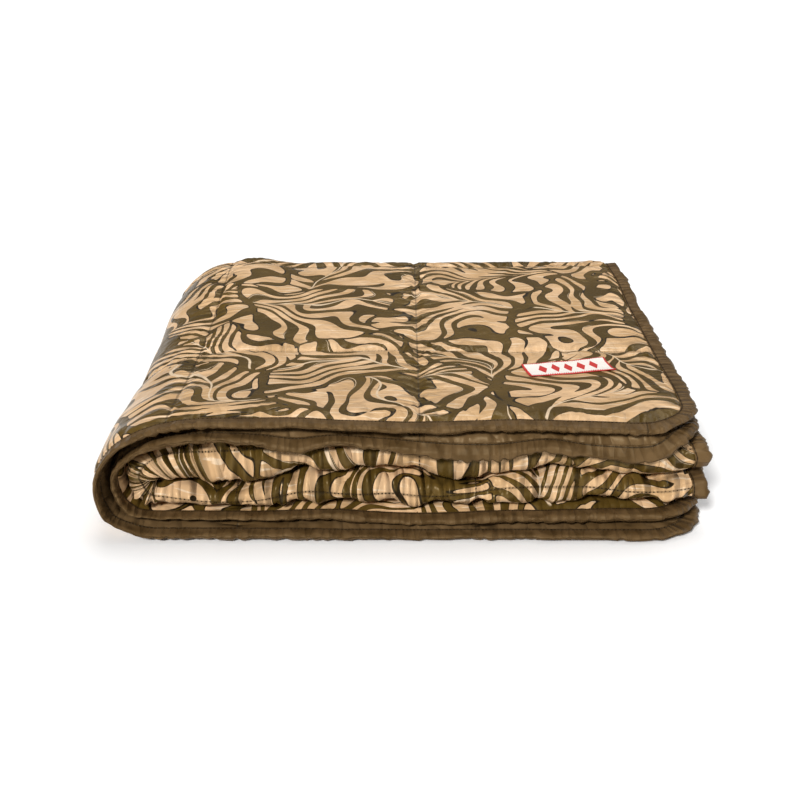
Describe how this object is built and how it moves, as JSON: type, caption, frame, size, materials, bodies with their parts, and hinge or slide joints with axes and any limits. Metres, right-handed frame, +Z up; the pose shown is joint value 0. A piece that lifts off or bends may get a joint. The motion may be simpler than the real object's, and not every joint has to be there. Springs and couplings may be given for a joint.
{
  "type": "camp blanket",
  "caption": "Quilted insulated camp blanket, printed on one face, with bound edges and rounded corners, folded in half three times into a flat stack.",
  "frame": {"origin": "centre of the folded blanket's bounding box, on the surface it lies on", "axes": "+X along the longer side, from the left roll to the open side; +Y from the bound front edges to the back creases; +Z up through the stack"},
  "size_m": [0.52, 0.465, 0.1084],
  "materials": {
    "printed_polyester": "satin",
    "polyester_batting": "matte",
    "brown_polyester": "satin",
    "brown_binding_tape": "matte",
    "dark_thread": "matte",
    "brown_thread": "matte",
    "white_woven_label": "matte",
    "red_thread": "matte"
  },
  "bodies": {
    "root": {"printed_shell": "printed_polyester", "insulation": "polyester_batting", "lining": "brown_polyester", "edge_binding": "brown_binding_tape", "binding_needle_thread": "dark_thread", "binding_bobbin_thread": "brown_thread", "woven_label": "white_woven_label", "label_thread": "red_thread", "quilting_row_1_needle_thread": "dark_thread", "quilting_row_1_bobbin_thread": "brown_thread", "quilting_row_2_needle_thread": "dark_thread", "quilting_row_2_bobbin_thread": "brown_thread", "quilting_row_3_needle_thread": "dark_thread", "quilting_row_3_bobbin_thread": "brown_thread", "quilting_row_4_needle_thread": "dark_thread", "quilting_row_4_bobbin_thread": "brown_thread", "quilting_row_5_needle_thread": "dark_thread", "quilting_row_5_bobbin_thread": "brown_thread", "quilting_row_6_needle_thread": "dark_thread", "quilting_row_6_bobbin_thread": "brown_thread", "quilting_row_7_needle_thread": "dark_thread", "quilting_row_7_bobbin_thread": "brown_thread", "quilting_column_1_needle_thread": "dark_thread", "quilting_column_1_bobbin_thread": "brown_thread", "quilting_column_2_needle_thread": "dark_thread", "quilting_column_2_bobbin_thread": "brown_thread", "quilting_column_3_needle_thread": "dark_thread", "quilting_column_3_bobbin_thread": "brown_thread", "quilting_column_4_needle_thread": "dark_thread", "quilting_column_4_bobbin_thread": "brown_thread"}
  },
  "joints": []
}
